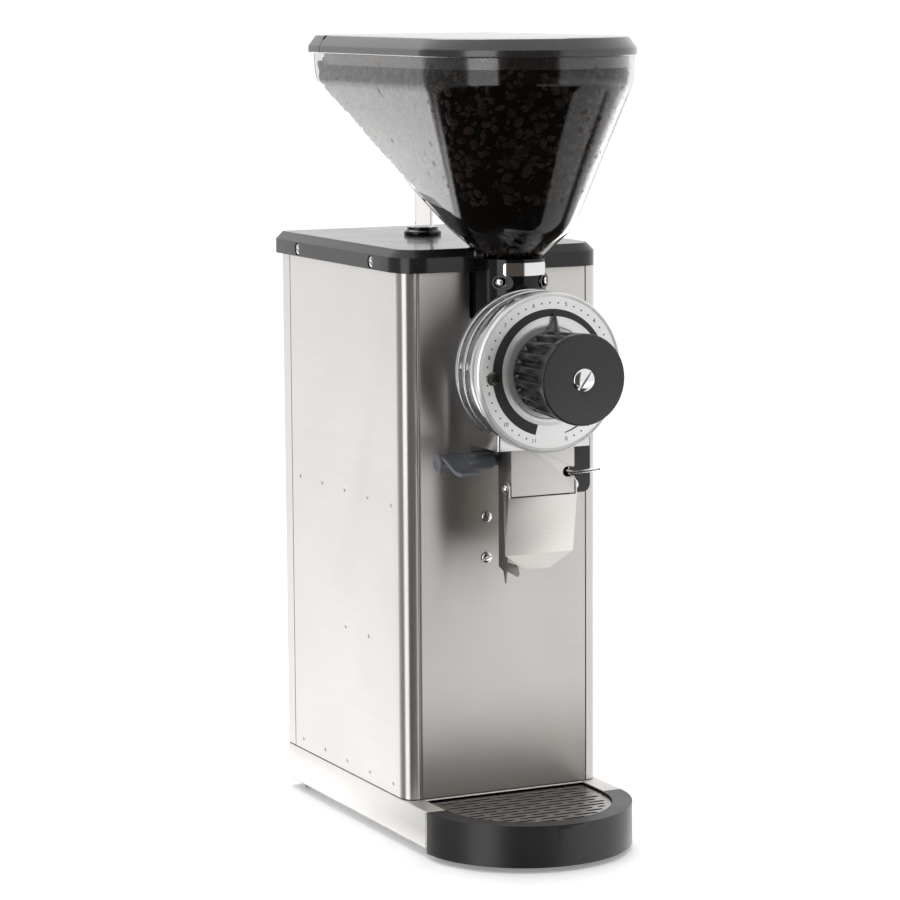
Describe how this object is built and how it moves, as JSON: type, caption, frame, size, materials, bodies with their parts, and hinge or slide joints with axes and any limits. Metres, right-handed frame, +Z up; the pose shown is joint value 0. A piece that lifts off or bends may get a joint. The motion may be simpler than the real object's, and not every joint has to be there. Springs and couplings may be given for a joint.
{
  "type": "burr coffee grinder",
  "caption": "Upright bulk coffee grinder: steel cabinet, smoked hopper with hinged lid, ribbed grinding head with dial and knob, chute with flap, cleaning lever and drip tray.",
  "frame": {"origin": "on the floor under the middle of the whole grinder's box", "axes": "+Z up, -Y towards the user standing at the dial, +X to the user's right"},
  "size_m": [0.196, 0.434, 0.7025],
  "materials": {
    "stainless": "brushed stainless sheet, grain along the long side",
    "charcoal_plastic": "fine-textured moulded plastic",
    "gloss_black": "polished black moulding",
    "soft_black": "satin black moulding",
    "black_rubber": "matt rubber",
    "smoked_clear": "smoked transparent plastic",
    "cast_aluminium": "satin cast aluminium",
    "dial_silver": "silver-white lacquered plate",
    "chrome": "bright plated",
    "bearing_steel": "ground steel",
    "tool_steel": "hardened dark steel",
    "dark_steel": "blackened steel",
    "grey_lever": "dark grey powder coat on a casting",
    "motor_paint": "dark grey enamel",
    "galvanised": "zinc-coated sheet",
    "rotor_iron": "laminated iron",
    "white_plastic": "plain moulded case"
  },
  "bodies": {
    "cabinet": {"base_frame": "stainless", "base_plate": "galvanised", "chassis_plate": "galvanised", "chute_cover": "stainless", "chute_duct": "stainless", "cord_gland": "soft_black", "cover_screw_front_left": "chrome", "cover_screw_front_right": "chrome", "cover_screw_rear_left": "chrome", "cover_screw_rear_right": "chrome", "dial_lock_screw": "dark_steel", "dial_plate": "dial_silver", "fixed_burr": "tool_steel", "flap_rivet_left": "chrome", "flap_rivet_right": "chrome", "flap_spring_wire": "chrome", "foot_front_left": "black_rubber", "foot_front_right": "black_rubber", "foot_rear_left": "black_rubber", "foot_rear_right": "black_rubber", "front_bearing": "bearing_steel", "front_panel": "stainless", "grinder_head": "cast_aluminium", "hopper_foot": "gloss_black", "hopper_lock_screw_left": "chrome", "hopper_lock_screw_right": "chrome", "hopper_shell": "smoked_clear", "left_side_panel": "stainless", "lever_bracket": "galvanised", "lid_hinge_pin": "bearing_steel", "lid_rear_cap": "charcoal_plastic", "motor_case": "motor_paint", "motor_end_bell": "cast_aluminium", "motor_support": "galvanised", "panel_screw_lower": "chrome", "panel_screw_upper": "chrome", "rear_bearing": "bearing_steel", "rear_cover": "stainless", "right_side_panel": "stainless", "run_capacitor": "white_plastic", "switch_body": "soft_black", "throat_band": "chrome", "throat_collar": "gloss_black", "top_cover": "charcoal_plastic"},
    "lid": {"lid": "charcoal_plastic"},
    "tray": {"drip_tray": "soft_black"},
    "grille": {"drip_grille": "stainless"},
    "knob": {"adjustment_knob": "soft_black", "adjusting_screw": "tool_steel", "knob_screw": "chrome"},
    "thrust": {"thrust_pin": "tool_steel"},
    "drive": {"main_shaft": "tool_steel", "motor_rotor": "rotor_iron", "feed_auger": "tool_steel", "turning_burr": "tool_steel"},
    "flap": {"chute_flap": "stainless"},
    "lever": {"cleaning_lever": "grey_lever", "knocker_arm": "gloss_black"},
    "rocker": {"switch_rocker": "gloss_black"}
  },
  "joints": [
    {"name": "lid_hinge", "type": "hinge", "parent": "cabinet", "child": "lid", "pos_m": [0, 0.104, 0.7003], "axis": [-1, 0, 0], "range_deg": [0, 100]},
    {"name": "tray_slide", "type": "slide", "parent": "cabinet", "child": "tray", "axis": [0, -1, 0], "range_m": [0, 0.09]},
    {"name": "grille_lift", "type": "slide", "parent": "tray", "child": "grille", "axis": [0, 0, 1], "range_m": [0, 0.03]},
    {"name": "dial_turn", "type": "hinge", "parent": "cabinet", "child": "knob", "pos_m": [0, -0.154, 0.4215], "axis": [0, 1, 0], "range_deg": [-169, 161]},
    {"name": "burr_gap", "type": "slide", "parent": "cabinet", "child": "thrust", "axis": [0, 1, 0], "range_m": [-0.00062, 0.0006]},
    {"name": "drive_spin", "type": "hinge", "parent": "thrust", "child": "drive", "pos_m": [0, -0.1295, 0.4215], "axis": [0, 1, 0], "continuous": true},
    {"name": "flap_hinge", "type": "hinge", "parent": "cabinet", "child": "flap", "pos_m": [0, -0.134, 0.322], "axis": [-1, 0, 0], "range_deg": [0, 40], "stiffness_Nm_per_rad": 0.05, "springref_deg": -11.46},
    {"name": "lever_press", "type": "hinge", "parent": "cabinet", "child": "lever", "pos_m": [-0.083, -0.104, 0.343], "axis": [1, 0, 0], "range_deg": [0, 30], "stiffness_Nm_per_rad": 0.2, "springref_deg": -17.19},
    {"name": "rocker_tilt", "type": "hinge", "parent": "cabinet", "child": "rocker", "pos_m": [0.0885, -0.002, 0.455], "axis": [0, -1, 0], "range_deg": [0, 14]}
  ],
  "couplings": [
    {"joint": "burr_gap", "follows": "dial_turn", "m_per_rad": 0.00019894}
  ]
}
